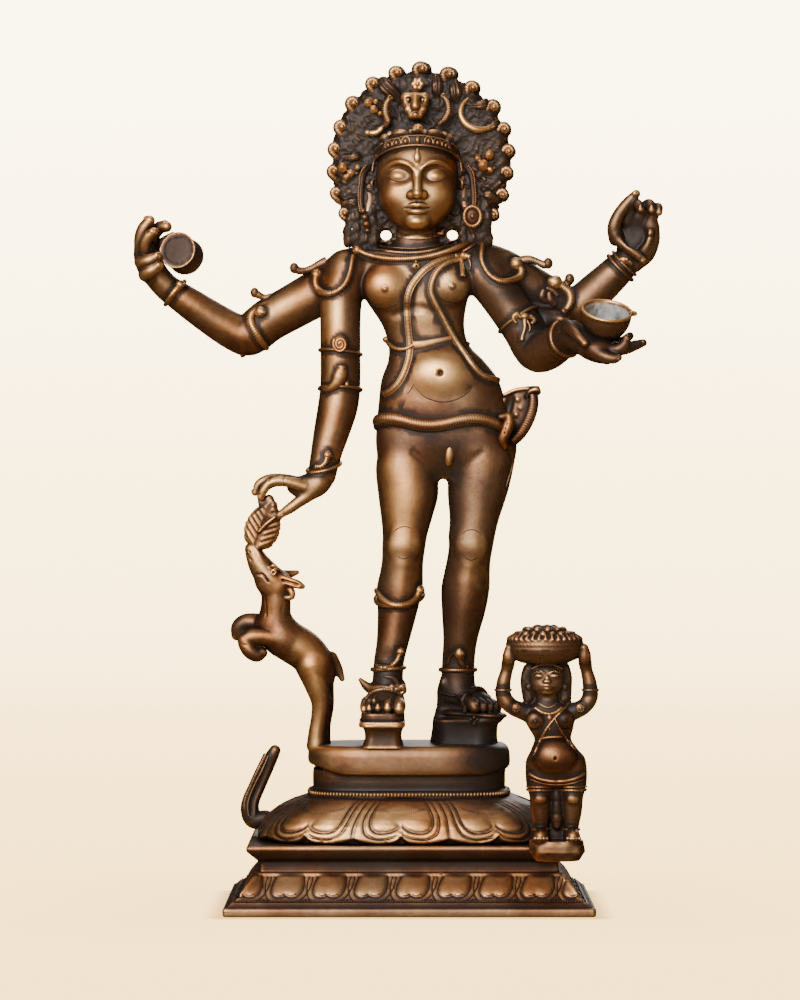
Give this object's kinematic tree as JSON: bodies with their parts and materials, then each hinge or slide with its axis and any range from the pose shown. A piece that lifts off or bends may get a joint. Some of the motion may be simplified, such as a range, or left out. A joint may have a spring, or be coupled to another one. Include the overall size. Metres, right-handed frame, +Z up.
{
  "type": "bronze figure of shiva as a wandering mendicant",
  "caption": "Four-armed bronze Shiva as a mendicant, feeding a deer, on a lotus pedestal and rectangular base with a dwarf attendant.",
  "frame": {"origin": "centre of the underside of the rectangular base, on the surface that it stands on", "axes": "+Z up through the figure, -Y the way the figure faces, +X to the figure's left, which is the picture's right"},
  "size_m": [0.2644, 0.1303, 0.4216],
  "materials": {
    "bronze": "rubbed bronze with a dark patina in the hollows",
    "base_bronze": "dark patinated bronze, rubbed bright on the edges"
  },
  "bodies": {
    "root": {"shiva_on_lotus": "bronze", "rectangular_base": "base_bronze", "dwarf_attendant": "bronze"}
  },
  "joints": []
}
